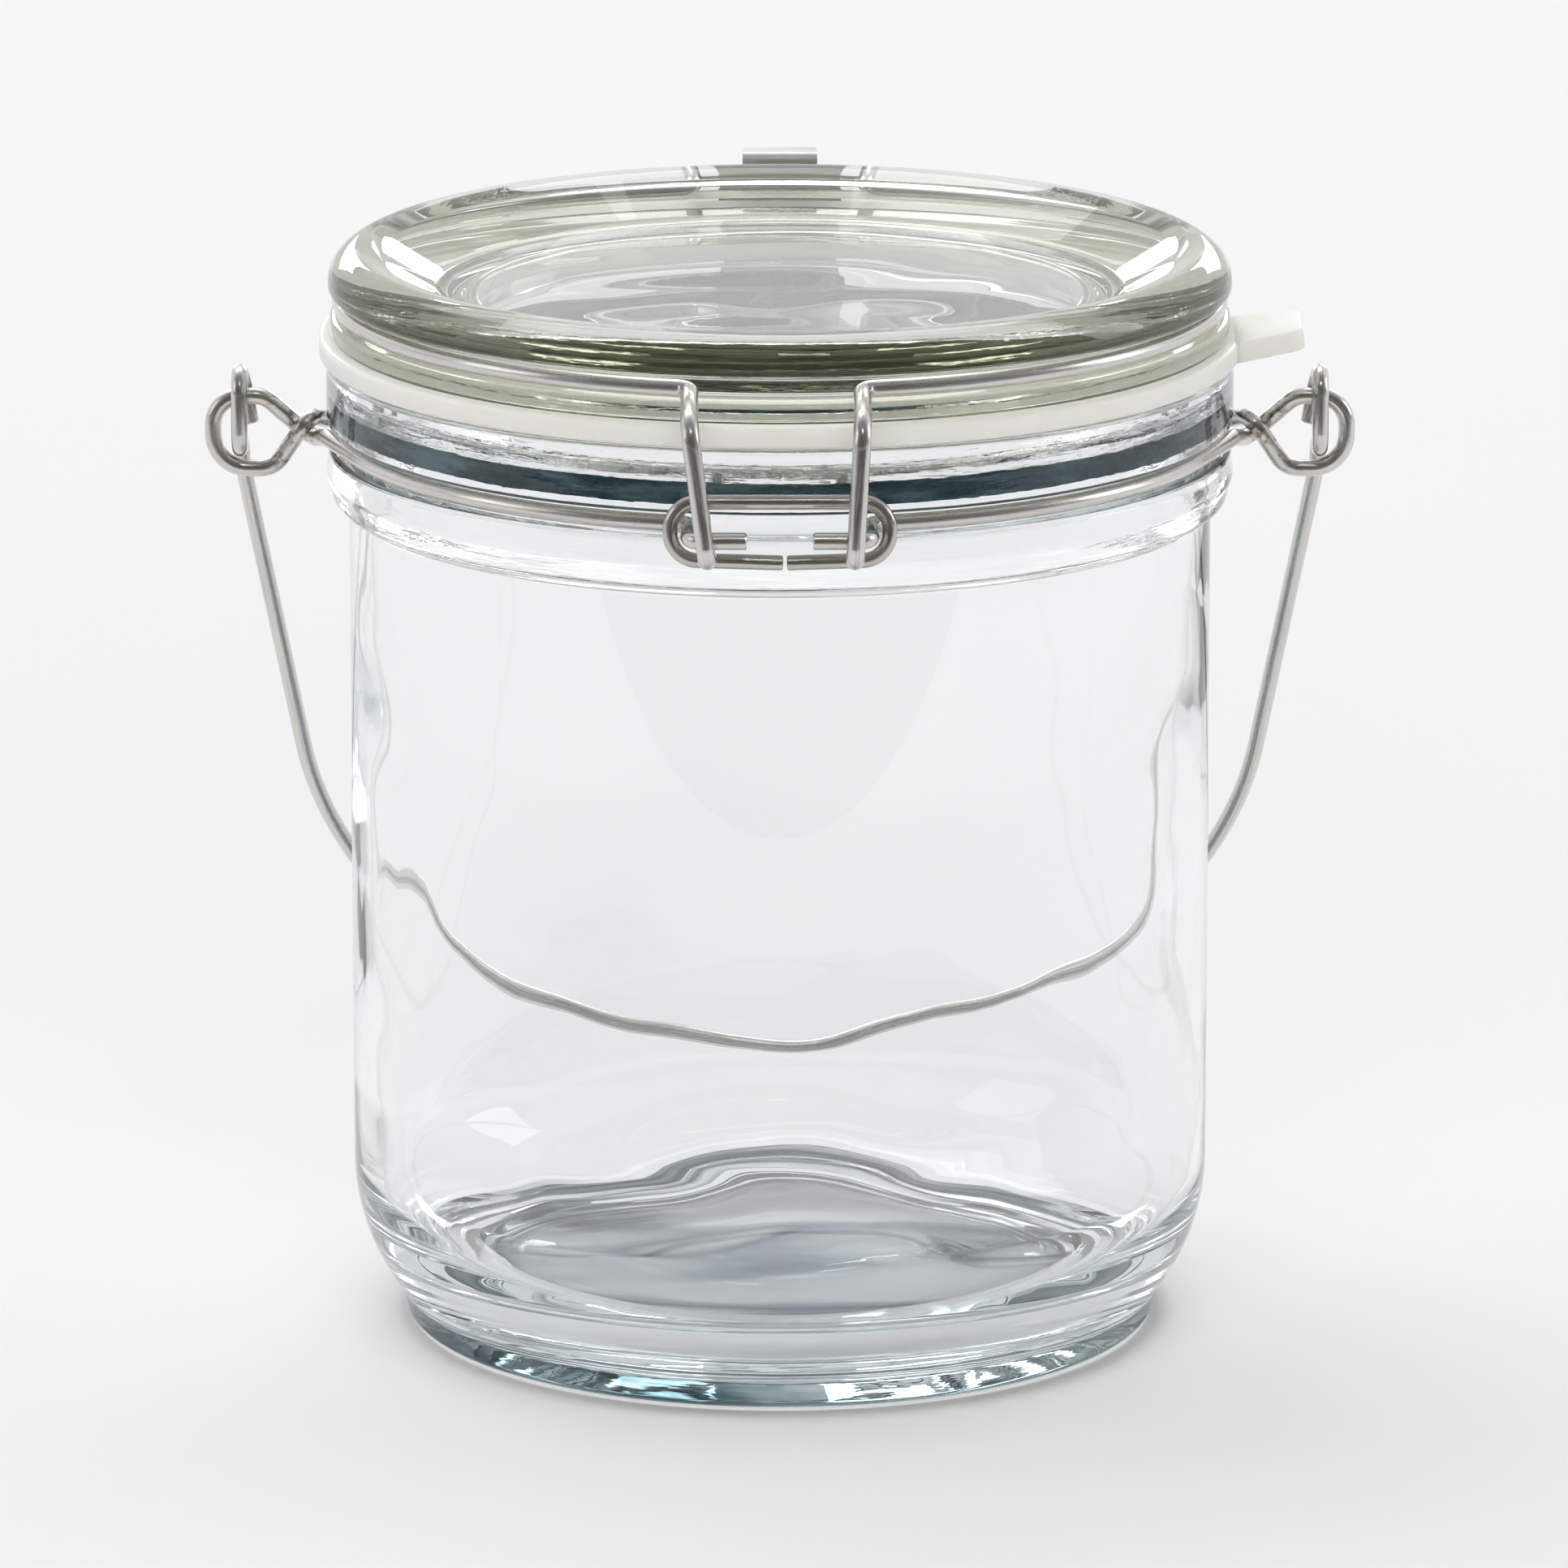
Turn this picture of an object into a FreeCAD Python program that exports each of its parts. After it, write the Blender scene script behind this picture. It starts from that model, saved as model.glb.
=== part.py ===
import FreeCAD, Part
import math
import os

Vector = FreeCAD.Vector

# ---------------------------------------------------------------------------
# A round clip-top glass canister.  Millimetres.  Origin on the jar's axis in
# the plane it stands on, +Z up, the clasp at -Y and the hinge at +Y.
# ---------------------------------------------------------------------------

# jar
body_r = 52.5
wall = 2.8
foot_r = 45.9
foot_land_inner_r = 42.6
foot_land_round = 1.0
foot_edge_round = 1.2
foot_top_z = 4.8
foot_draft = 1.1
foot_step_round = 0.3
heel_start_r = 47.95
heel_start_z = 5.3
heel_corner_z = 11.94
heel_bend = 25.4
punt_r = 34.0
punt_z = 2.7
punt_centre_z = 2.8
punt_round = 15.0
floor_edge_z = 6.9
floor_mid_r = 20.0
floor_mid_z = 6.7
floor_round = 30.0
floor_centre_z = 7.6
inner_heel_bend = 13.0
shoulder_z = 101.9
shoulder_round = 0.6
collar_r = 55.2
bead_low_r = 54.4
bead_low_z = 102.9
bead_low_round = 1.6
bead_wide_z = 106.0
bead_round = 2.4
bead_draft = 0.3
neck_groove_r = 52.3
neck_groove_low_z = 109.35
neck_groove_top_z = 112.15
groove_slope = 0.1
groove_round = 0.7
collar_round = 0.9
land_z = 120.3
mouth_r = 45.0
mouth_round = 0.8
mouth_shoulder_z = 116.5
mouth_shoulder_round = 0.8
mouth_shoulder_end_z = 115.0
mouth_shoulder_end_round = 1.1

# gasket
gasket_gap = 0.05
gasket_inner_r = 44.5
gasket_inner_round = 0.4
gasket_outer_r = 56.0
gasket_t = 2.7
gasket_outer_round = 0.6
tab_root_x = 54.6
tab_tip_x = 63.6
tab_root_half = 8.2
tab_tip_half = 6.0
tab_t = 2.6
tab_raise = 0.05
tab_corner = 2.2
tab_lift_deg = 9.0
tab_hinge_inset = 1.0
tab_clear_of_lid = 0.5
tab_rib_count = 5
tab_rib_h = 0.25
tab_rib_w = 0.5
tab_rib_margin = 1.5

# lid
seat_z = land_z + gasket_gap + gasket_t
lid_r = 54.9
flange_r = 54.7
flange_top_z = seat_z + 2.5
flange_slope = 0.2
flange_round = 0.7
seat_round = 0.4
lid_groove_r = 52.15
lid_groove_top_z = 128.15
rim_low_z = 128.35
rim_low_round = 0.9
rim_round = 4.1
crest_z = 133.4
crest_inner_r = 49.2
crest_inner_round = 5.0
well_r = 41.0
well_z = 128.5
well_round = 4.0
well_centre_z = 128.8
plug_top_r = 44.0
plug_top_round = 0.8
plug_taper_h = 2.0
plug_low_r = 42.4
plug_low_round = 1.3
plug_z = 118.4
recess_r = 38.0
recess_z = 124.3
recess_round = 1.6
recess_draft = 1.2

# wire sizes
neck_wire_r = 1.02
lid_wire_r = 1.08
ring_wire_r = 0.9
handle_wire_r = 1.0

# neck wire
neck_ring_r = 53.55
neck_ring_z = 110.75
neck_bend = 2.0
peg_x = 10.65
peg_arc_x = 13.6
stub_y = -61.1
stub_z = 110.6
stub_end_x = 3.9
side_arc_deg = 20.0
side_lead = 14.0
side_bend = 4.0
cross_front_x = 57.0
cross_rear_x = 57.2
cross_y = 1.8
cross_low_z = 109.2
cross_high_z = 112.7
loop_in_top_x = 62.8
loop_in_low_x = 61.6
loop_out_x = 69.0
loop_top_z = 114.8
loop_low_z = 105.8
loop_in_bend = 3.0
loop_top_bend = 3.6
loop_low_bend = 4.2
cross_bend = 1.8

# rear hinge
hinge_y = 59.4
hinge_leg_x = 11.3
hinge_arc_x = 14.6
plate_half = 7.8
plate_t = 0.7
knuckle_gap = 0.14
knuckle_slot = 0.9
knuckle_slot_share = 0.7
tongue_half = 4.7
tongue_top_z = 132.9
tongue_corner = 0.8
lip_bend = 1.2

# lid wire
lid_ring_r = 53.3
lid_ring_z = 126.95
leg_top_left_x = 10.6
leg_top_right_x = 9.7
leg_low_left_x = 8.5
leg_low_right_x = 8.8
leg_arc_step = 3.4
leg_y = -63.5
leg_top_z = 124.9
leg_bend = 3.4
elbow_bend = 1.8
hook_low_z = 108.35
hook_bend = 2.1
hook_under_y = -60.95
hook_tip_y = -59.7
hook_tip_z = 108.75
hook_tip_bend = 1.5

# clasp ring
ring_y = -57.6
ring_top_z = 114.5
ring_low_z = 107.6
ring_half = 12.9
ring_end_bend = 3.3
ring_joint_x = 0.6
ring_joint_gap = 0.45
ring_joint_drop = 0.4

# handle
handle_x = 65.7
handle_lean_deg = 29.35
bow_centre_v = 50.0
bow_r = 60.0
hook_half = 2.6
hook_rise = 2.9
hook_corner_bend = 2.5
hook_tip_drop = 3.9
hook_tip_inset = 1.2
through_drop = 6.45
through_back = 3.62
through_bend = 2.4
side_start_v = 11.0
side_top_bend = 12.0

# shortest straight run worth drawing, and how far a cutting tool overruns
tiny = 0.001
overrun = 1.0


# ---------------------------------------------------------------------------
# helpers
# ---------------------------------------------------------------------------

def corner_cut(before, corner, after, bend):
    """Start, middle and end of the round that replaces one corner."""
    a = (before - corner).normalize()
    b = (after - corner).normalize()
    half = a.getAngle(b) / 2.0
    reach = bend / math.tan(half)
    middle = (a + b).normalize() * (bend / math.sin(half) - bend)
    return corner + a * reach, corner + middle, corner + b * reach


def open_path(points, bends):
    """Straight runs joined by tangent rounds; one bend for each inner point."""
    edges = []
    here = points[0]
    for i, bend in enumerate(bends):
        start, middle, end = corner_cut(points[i], points[i + 1], points[i + 2], bend)
        if (start - here).Length > tiny:
            edges.append(Part.LineSegment(here, start).toShape())
        edges.append(Part.Arc(start, middle, end).toShape())
        here = end
    edges.append(Part.LineSegment(here, points[-1]).toShape())
    return edges


def closed_profile(corners):
    """Face in the XZ plane from (radius, height, round) corners."""
    count = len(corners)
    spots = [Vector(r, 0, z) for r, z, bend in corners]
    edges = []
    ends = []
    for i in range(count):
        bend = corners[i][2]
        if bend > 0:
            start, middle, end = corner_cut(spots[i - 1], spots[i], spots[(i + 1) % count], bend)
            edges.append(Part.Arc(start, middle, end).toShape())
            ends.append((start, end))
        else:
            ends.append((spots[i], spots[i]))
    for i in range(count):
        leave = ends[i][1]
        reach = ends[(i + 1) % count][0]
        if (reach - leave).Length > tiny:
            edges.append(Part.LineSegment(leave, reach).toShape())
    return Part.Face(Part.Wire(Part.__sortEdges__(edges)))


def turned(corners):
    """Solid of revolution about Z."""
    return closed_profile(corners).revolve(Vector(0, 0, 0), Vector(0, 0, 1), 360)


def wire_solid(edges, radius):
    """Round wire along a path: a cylinder on each line, a torus piece on each arc."""
    pieces = []
    for edge in edges:
        start = edge.valueAt(edge.FirstParameter)
        heading = edge.tangentAt(edge.FirstParameter)
        disc = Part.Face(Part.Wire(Part.makeCircle(radius, start, heading)))
        if isinstance(edge.Curve, Part.Line):
            pieces.append(disc.extrude(edge.valueAt(edge.LastParameter) - start))
        else:
            turn = math.degrees(edge.LastParameter - edge.FirstParameter)
            pieces.append(disc.revolve(edge.Curve.Center, edge.Curve.Axis, turn))
    return pieces[0].fuse(pieces[1:]).removeSplitter()


def on_ring(radius, deg, z):
    a = math.radians(deg)
    return Vector(radius * math.cos(a), radius * math.sin(a), z)


def ring_arc(radius, from_deg, to_deg, z):
    middle = (from_deg + to_deg) / 2.0
    ends = [on_ring(radius, d, z) for d in (from_deg, middle, to_deg)]
    return Part.Arc(ends[0], ends[1], ends[2]).toShape()


def tangent_spot(radius, deg, z, step):
    """Point a step along the ring's tangent, turning anticlockwise when positive."""
    a = math.radians(deg)
    return on_ring(radius, deg, z) + Vector(-math.sin(a), math.cos(a), 0) * step


def tangent_to_x(radius, deg, z, x):
    """Point on the ring's tangent at deg where it meets the given x."""
    a = math.radians(deg)
    step = (x - radius * math.cos(a)) / -math.sin(a)
    return tangent_spot(radius, deg, z, step)


def flipped(points):
    """The same points on the other side of the middle plane, in reverse order."""
    return [Vector(-p.x, p.y, p.z) for p in reversed(points)]


# ---------------------------------------------------------------------------
# glass
# ---------------------------------------------------------------------------

def jar_body():
    inner_r = body_r - wall
    return turned([
        (0, punt_centre_z, 0),
        (punt_r, punt_z, punt_round),
        (foot_land_inner_r, 0, foot_land_round),
        (foot_r, 0, foot_edge_round),
        (foot_r + foot_draft, foot_top_z, foot_step_round),
        (heel_start_r, heel_start_z, 0),
        (body_r, heel_corner_z, heel_bend),
        (body_r, shoulder_z, shoulder_round),
        (bead_low_r, bead_low_z, bead_low_round),
        (collar_r, bead_wide_z, bead_round),
        (collar_r - bead_draft, neck_groove_low_z - groove_slope, collar_round),
        (neck_groove_r, neck_groove_low_z, groove_round),
        (neck_groove_r, neck_groove_top_z, groove_round),
        (collar_r, neck_groove_top_z + groove_slope, groove_round),
        (collar_r, land_z, collar_round),
        (mouth_r, land_z, mouth_round),
        (mouth_r, mouth_shoulder_z, mouth_shoulder_round),
        (inner_r, mouth_shoulder_end_z, mouth_shoulder_end_round),
        (inner_r, floor_edge_z, inner_heel_bend),
        (floor_mid_r, floor_mid_z, floor_round),
        (0, floor_centre_z, 0),
    ])


def lid():
    return turned([
        (0, recess_z, 0),
        (recess_r, recess_z, recess_round),
        (recess_r + recess_draft, plug_z, plug_low_round),
        (plug_low_r, plug_z, plug_low_round),
        (plug_top_r, seat_z - plug_taper_h, plug_top_round),
        (plug_top_r, seat_z, seat_round),
        (flange_r, seat_z, flange_round),
        (flange_r, flange_top_z, flange_round),
        (lid_groove_r, flange_top_z + flange_slope, groove_round),
        (lid_groove_r, lid_groove_top_z, groove_round),
        (lid_r, rim_low_z, rim_low_round),
        (lid_r, crest_z, rim_round),
        (crest_inner_r, crest_z, crest_inner_round),
        (well_r, well_z, well_round),
        (0, well_centre_z, 0),
    ])


# ---------------------------------------------------------------------------
# silicone gasket with its pull tab
# ---------------------------------------------------------------------------

def gasket():
    low = land_z + gasket_gap
    high = low + gasket_t
    ring = turned([
        (gasket_inner_r, low, gasket_inner_round),
        (gasket_outer_r, low, gasket_outer_round),
        (gasket_outer_r, high, gasket_outer_round),
        (gasket_inner_r, high, gasket_inner_round),
    ])
    tab_low = low + tab_raise
    outline = [
        Vector(tab_root_x, -tab_root_half, tab_low),
        Vector(tab_tip_x, -tab_tip_half, tab_low),
        Vector(tab_tip_x, tab_tip_half, tab_low),
        Vector(tab_root_x, tab_root_half, tab_low),
    ]
    edges = open_path(outline, [tab_corner, tab_corner])
    edges.append(Part.LineSegment(outline[-1], outline[0]).toShape())
    face = Part.Face(Part.Wire(Part.__sortEdges__(edges)))
    tab = face.extrude(Vector(0, 0, tab_t))
    pitch = (tab_tip_x - gasket_outer_r) / (tab_rib_count + 1)
    rib_half = tab_tip_half - tab_rib_margin
    for i in range(tab_rib_count):
        x = gasket_outer_r + pitch * (i + 1)
        corner = Vector(x - tab_rib_w / 2, -rib_half, tab_low)
        tab = tab.fuse(Part.makeBox(tab_rib_w, 2 * rib_half, tab_t + tab_rib_h, corner))
    hinge = Vector(gasket_outer_r - tab_hinge_inset, 0, low + gasket_t / 2)
    tab.rotate(hinge, Vector(0, 1, 0), -tab_lift_deg)
    # the tab joins only the band's outer half, never the seat above it
    inside = Part.makeCylinder(
        lid_r + tab_clear_of_lid, gasket_t + 4 * overrun, Vector(0, 0, low - 2 * overrun),
    )
    return ring.fuse(tab.cut(inside)).removeSplitter()


# ---------------------------------------------------------------------------
# wires
# ---------------------------------------------------------------------------

def eyelet_points():
    """Right-hand eyelet: the front wire ducks under and climbs, the rear wire comes over."""
    lead = tangent_spot(neck_ring_r, -side_arc_deg, neck_ring_z, side_lead)
    return [
        on_ring(neck_ring_r, -side_arc_deg, neck_ring_z),
        lead,
        Vector(cross_front_x, cross_y, cross_low_z),
        Vector(loop_in_top_x, 0, loop_top_z),
        Vector(loop_out_x, 0, loop_top_z),
        Vector(loop_out_x, 0, loop_low_z),
        Vector(loop_in_low_x, 0, loop_low_z),
        Vector(cross_rear_x, -cross_y, cross_high_z),
        Vector(lead.x, -lead.y, neck_ring_z),
        on_ring(neck_ring_r, side_arc_deg, neck_ring_z),
    ]


def neck_wire():
    bends = [
        side_bend, cross_bend, loop_in_bend, loop_top_bend,
        loop_low_bend, loop_in_bend, cross_bend, side_bend,
    ]
    front_deg = -math.degrees(math.acos(peg_arc_x / neck_ring_r))
    rear_deg = math.degrees(math.acos(hinge_arc_x / neck_ring_r))
    arc_start = on_ring(neck_ring_r, front_deg, neck_ring_z)
    right_stub = [
        Vector(stub_end_x, stub_y, stub_z),
        Vector(peg_x, stub_y, stub_z),
        tangent_to_x(neck_ring_r, front_deg, neck_ring_z, peg_x),
        arc_start,
    ]
    rear_arc_end = on_ring(neck_ring_r, rear_deg, neck_ring_z)
    rear_corner = tangent_to_x(neck_ring_r, rear_deg, neck_ring_z, hinge_leg_x)
    rear_half = [
        rear_arc_end,
        rear_corner,
        Vector(hinge_leg_x, hinge_y, neck_ring_z),
    ]
    rear = rear_half + flipped(rear_half)
    right_eye = eyelet_points()
    edges = open_path(right_stub, [neck_bend, neck_bend])
    edges.append(ring_arc(neck_ring_r, front_deg, -side_arc_deg, neck_ring_z))
    edges += open_path(right_eye, bends)
    edges.append(ring_arc(neck_ring_r, side_arc_deg, rear_deg, neck_ring_z))
    edges += open_path(rear, [neck_bend, neck_bend, neck_bend, neck_bend])
    edges.append(ring_arc(neck_ring_r, 180 - rear_deg, 180 - side_arc_deg, neck_ring_z))
    edges += open_path(flipped(right_eye), list(reversed(bends)))
    edges.append(ring_arc(neck_ring_r, 180 + side_arc_deg, 180 - front_deg, neck_ring_z))
    edges += open_path(flipped(right_stub), [neck_bend, neck_bend])
    return wire_solid(edges, neck_wire_r)


def clasp_leg(top_x, low_x):
    """Right-hand clasp leg, from the hook's tip up to the ring."""
    deg = -math.degrees(math.acos((top_x + leg_arc_step) / lid_ring_r))
    return deg, [
        Vector(low_x, hook_tip_y, hook_tip_z),
        Vector(low_x, hook_under_y, hook_low_z),
        Vector(low_x, leg_y, hook_low_z),
        Vector(top_x, leg_y, leg_top_z),
        tangent_to_x(lid_ring_r, deg, lid_ring_z, top_x),
        on_ring(lid_ring_r, deg, lid_ring_z),
    ]


def lid_wire():
    bends = [hook_tip_bend, hook_bend, leg_bend, elbow_bend]
    rear_deg = math.degrees(math.acos(hinge_arc_x / lid_ring_r))
    right_deg, right_leg = clasp_leg(leg_top_right_x, leg_low_right_x)
    left_deg, left_leg = clasp_leg(leg_top_left_x, leg_low_left_x)
    rear_half = [
        on_ring(lid_ring_r, rear_deg, lid_ring_z),
        tangent_to_x(lid_ring_r, rear_deg, lid_ring_z, hinge_leg_x),
        Vector(hinge_leg_x, hinge_y, lid_ring_z),
    ]
    rear = rear_half + flipped(rear_half)
    edges = open_path(right_leg, bends)
    edges.append(ring_arc(lid_ring_r, right_deg, rear_deg, lid_ring_z))
    edges += open_path(rear, [neck_bend, neck_bend, neck_bend, neck_bend])
    edges.append(ring_arc(lid_ring_r, 180 - rear_deg, 180 - left_deg, lid_ring_z))
    edges += open_path(flipped(left_leg), list(reversed(bends)))
    return wire_solid(edges, lid_wire_r)


def clasp_ring():
    """Wire racetrack with a butt joint at the middle of its lower bar."""
    drop_z = ring_low_z - ring_joint_drop
    half_gap = ring_joint_gap / 2
    points = [
        Vector(ring_joint_x + half_gap, ring_y, drop_z),
        Vector(ring_half, ring_y, ring_low_z),
        Vector(ring_half, ring_y, ring_top_z),
        Vector(-ring_half, ring_y, ring_top_z),
        Vector(-ring_half, ring_y, ring_low_z),
        Vector(ring_joint_x - half_gap, ring_y, drop_z),
    ]
    return wire_solid(open_path(points, [ring_end_bend] * 4), ring_wire_r)


def handle():
    """Bail that hangs behind the jar, hooked over the tops of both eyelets."""
    lean = math.radians(handle_lean_deg)
    down = Vector(0, math.sin(lean), -math.cos(lean))
    axle = Vector(0, 0, loop_top_z)

    def hung(u, v):
        return axle + Vector(u, 0, 0) + down * v

    # the straight side meets the bow where a line from its top is tangent
    rise = bow_centre_v - side_start_v
    far = math.hypot(handle_x, rise)
    swing = math.acos(bow_r / far) - math.atan2(rise, handle_x)
    touch_u = bow_r * math.cos(swing)
    touch_v = bow_centre_v + bow_r * math.sin(swing)
    knee_z = loop_top_z - through_drop
    right = [
        Vector(handle_x - hook_tip_inset, hook_half, loop_top_z - hook_tip_drop),
        Vector(handle_x, hook_half, loop_top_z + hook_rise),
        Vector(handle_x, -hook_half, loop_top_z + hook_rise),
        Vector(handle_x, -hook_half, knee_z),
        Vector(handle_x, through_back, knee_z),
        hung(handle_x, side_start_v),
        hung(touch_u, touch_v),
    ]
    bends = [hook_corner_bend, hook_corner_bend, through_bend, through_bend, side_top_bend]
    edges = open_path(right, bends)
    bow = [hung(touch_u, touch_v), hung(0, bow_centre_v + bow_r), hung(-touch_u, touch_v)]
    edges.append(Part.Arc(bow[0], bow[1], bow[2]).toShape())
    edges += open_path(flipped(right), list(reversed(bends)))
    return wire_solid(edges, handle_wire_r)


# ---------------------------------------------------------------------------
# sheet-metal hinge plate, curled round both rear bars
# ---------------------------------------------------------------------------

def hinge_plate():
    width = 2 * plate_half
    along = Vector(1, 0, 0)
    inner_r = lid_wire_r + knuckle_gap
    outer_r = inner_r + plate_t
    back_y = hinge_y + outer_r
    strap = Part.makeBox(
        width, plate_t, lid_ring_z - neck_ring_z,
        Vector(-plate_half, back_y - plate_t, neck_ring_z),
    )
    plate = strap
    for z in (neck_ring_z, lid_ring_z):
        plate = plate.fuse(Part.makeCylinder(outer_r, width, Vector(-plate_half, hinge_y, z), along))
    for z in (neck_ring_z, lid_ring_z):
        plate = plate.cut(Part.makeCylinder(inner_r, width, Vector(-plate_half, hinge_y, z), along))
    # each curl stops short of the strap
    for z in (neck_ring_z + outer_r / 2, lid_ring_z - outer_r / 2 - knuckle_slot):
        depth = outer_r * knuckle_slot_share
        corner = Vector(-plate_half, back_y - plate_t - depth, z)
        slot = Part.makeBox(width, depth, knuckle_slot, corner)
        plate = plate.cut(slot)
    # a narrow tongue stands up behind the lid and ends in a lip bent backwards
    lip_y = -leg_y + lid_wire_r
    outside = [
        Vector(-tongue_half, back_y, lid_ring_z),
        Vector(-tongue_half, back_y, tongue_top_z - plate_t),
        Vector(-tongue_half, lip_y, tongue_top_z - plate_t),
    ]
    inside = [
        Vector(-tongue_half, lip_y, tongue_top_z),
        Vector(-tongue_half, back_y - plate_t, tongue_top_z),
        Vector(-tongue_half, back_y - plate_t, lid_ring_z),
    ]
    edges = open_path(outside, [lip_bend - plate_t])
    edges.append(Part.LineSegment(outside[-1], inside[0]).toShape())
    edges += open_path(inside, [lip_bend])
    edges.append(Part.LineSegment(inside[-1], outside[0]).toShape())
    blade = Part.Face(Part.Wire(Part.__sortEdges__(edges))).extrude(along * 2 * tongue_half)
    plan = [
        Vector(-tongue_half, back_y - plate_t - overrun, 0),
        Vector(-tongue_half, lip_y, 0),
        Vector(tongue_half, lip_y, 0),
        Vector(tongue_half, back_y - plate_t - overrun, 0),
    ]
    rim = open_path(plan, [tongue_corner, tongue_corner])
    rim.append(Part.LineSegment(plan[-1], plan[0]).toShape())
    trim = Part.Face(Part.Wire(Part.__sortEdges__(rim))).extrude(Vector(0, 0, tongue_top_z + overrun))
    return plate.fuse(blade.common(trim)).removeSplitter()


pieces = {
    "jar_body": jar_body(),
    "lid": lid(),
    "gasket": gasket(),
    "lid_wire": lid_wire(),
    "neck_wire": neck_wire(),
    "clasp_ring": clasp_ring(),
    "handle": handle(),
    "hinge_plate": hinge_plate(),
}

os.makedirs("parts", exist_ok=True)
for name, shape in pieces.items():
    shape.exportStep("parts/" + name + ".step")
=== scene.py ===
import math

import bpy
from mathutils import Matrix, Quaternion, Vector, noise


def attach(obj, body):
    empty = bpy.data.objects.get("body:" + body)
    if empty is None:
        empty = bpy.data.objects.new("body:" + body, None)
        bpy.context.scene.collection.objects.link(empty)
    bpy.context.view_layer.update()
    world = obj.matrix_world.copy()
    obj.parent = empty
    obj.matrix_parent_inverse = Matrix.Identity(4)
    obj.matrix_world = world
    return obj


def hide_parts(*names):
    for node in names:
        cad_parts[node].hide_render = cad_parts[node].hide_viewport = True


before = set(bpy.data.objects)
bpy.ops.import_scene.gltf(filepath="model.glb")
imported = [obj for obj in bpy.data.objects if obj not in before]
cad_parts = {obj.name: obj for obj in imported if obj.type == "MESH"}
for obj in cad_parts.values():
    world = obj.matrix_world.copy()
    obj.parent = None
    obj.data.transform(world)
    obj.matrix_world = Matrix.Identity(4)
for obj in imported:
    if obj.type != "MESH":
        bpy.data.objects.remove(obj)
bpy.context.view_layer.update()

MM = 0.001
UP = Vector((0, 0, 1))

# ---------------------------------------------------------------------------
# dimensions, in millimetres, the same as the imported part's
# ---------------------------------------------------------------------------

LAND_Z = 120.3
GASKET_LOW = LAND_Z + 0.05
GASKET_T = 2.7
SEAT_Z = GASKET_LOW + GASKET_T
NECK_R, NECK_Z = 53.55, 110.75
LID_RING_R, LID_RING_Z = 53.3, 126.95
HINGE_Y, HINGE_X = 59.4, 11.3
LOOP_TOP, LOOP_LOW = 114.8, 105.8
NECK_WIRE_R, LID_WIRE_R, RING_WIRE_R, HANDLE_WIRE_R = 1.02, 1.08, 0.9, 1.0

# where the two big rings leave their circle for the stubs, the legs and the hinge bars
FRONT_TURN_X, REAR_TURN_X, LEG_TURN = 13.6, 14.6, 3.4
TURN_BEND = 2.0

# neck wire: stubs in front, a twisted eyelet each side
STUB_TIP_X, STUB_TURN_X, STUB_Y, STUB_Z = 3.9, 10.65, -61.1, 110.6
SIDE_DEG, SIDE_LEAD = 20, 14
CROSS_FRONT_X, CROSS_REAR_X, CROSS_Y = 57.0, 57.2, 1.8
CROSS_LOW_Z, CROSS_HIGH_Z = 109.2, 112.7
EYE_TOP_X, EYE_LOW_X, EYE_OUT_X = 62.8, 61.6, 69.0
EYE_BENDS = [4, 1.8, 3, 3.6, 4.2, 3, 1.8, 4]

# clasp legs of the lid wire, from the hook's end up to the ring
LEG_Y, LEG_TOP_Z = -63.5, 124.9
HOOK_END_Y, HOOK_END_Z, HOOK_BASE_Y, HOOK_LOW_Z = -59.7, 108.75, -60.95, 108.35
RIGHT_LEG_TOP_X, RIGHT_LEG_LOW_X, LEFT_LEG_TOP_X, LEFT_LEG_LOW_X = 9.7, 8.8, 10.6, 8.5
LEG_BENDS = [1.5, 2.1, 3.4, 1.8]

# clasp ring: a racetrack whose ends butt a little below its lower bar
CLASP_Y, CLASP_TOP, CLASP_LOW, CLASP_HALF, CLASP_BEND = -57.6, 114.5, 107.6, 12.9, 3.3
BUTT_RIGHT_X, BUTT_LEFT_X, BUTT_SAG = 0.825, 0.375, 0.4

# handle: a hook through each eyelet, a knee, then one bow
HANDLE_X, HANDLE_LEAN_DEG = 65.7, 29.35
BOW_R, BOW_CENTRE, KNEE_TO_BOW = 60.0, 50.0, 11.0
HOOK_HALF, HOOK_RISE, HOOK_TIP_IN, HOOK_TIP_DROP = 2.6, 2.9, 1.2, 3.9
KNEE_DROP, KNEE_OUT_Y = 6.45, 3.62
HANDLE_BENDS = [2.5, 2.5, 2.4, 2.4, 12]

# pull tab
TAB_ROOT_X, TAB_TIP_X, TAB_ROOT_HALF, TAB_TIP_HALF, TAB_MIDDLE_X = 54.9, 63.6, 8.1, 6.0, 58.5
TAB_TURN_X, TAB_T, TAB_RAISE, TAB_CORNER, TAB_LIFT_DEG, TAB_EDGE = 55.0, 2.6, 0.05, 2.2, 9, 0.35

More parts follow.
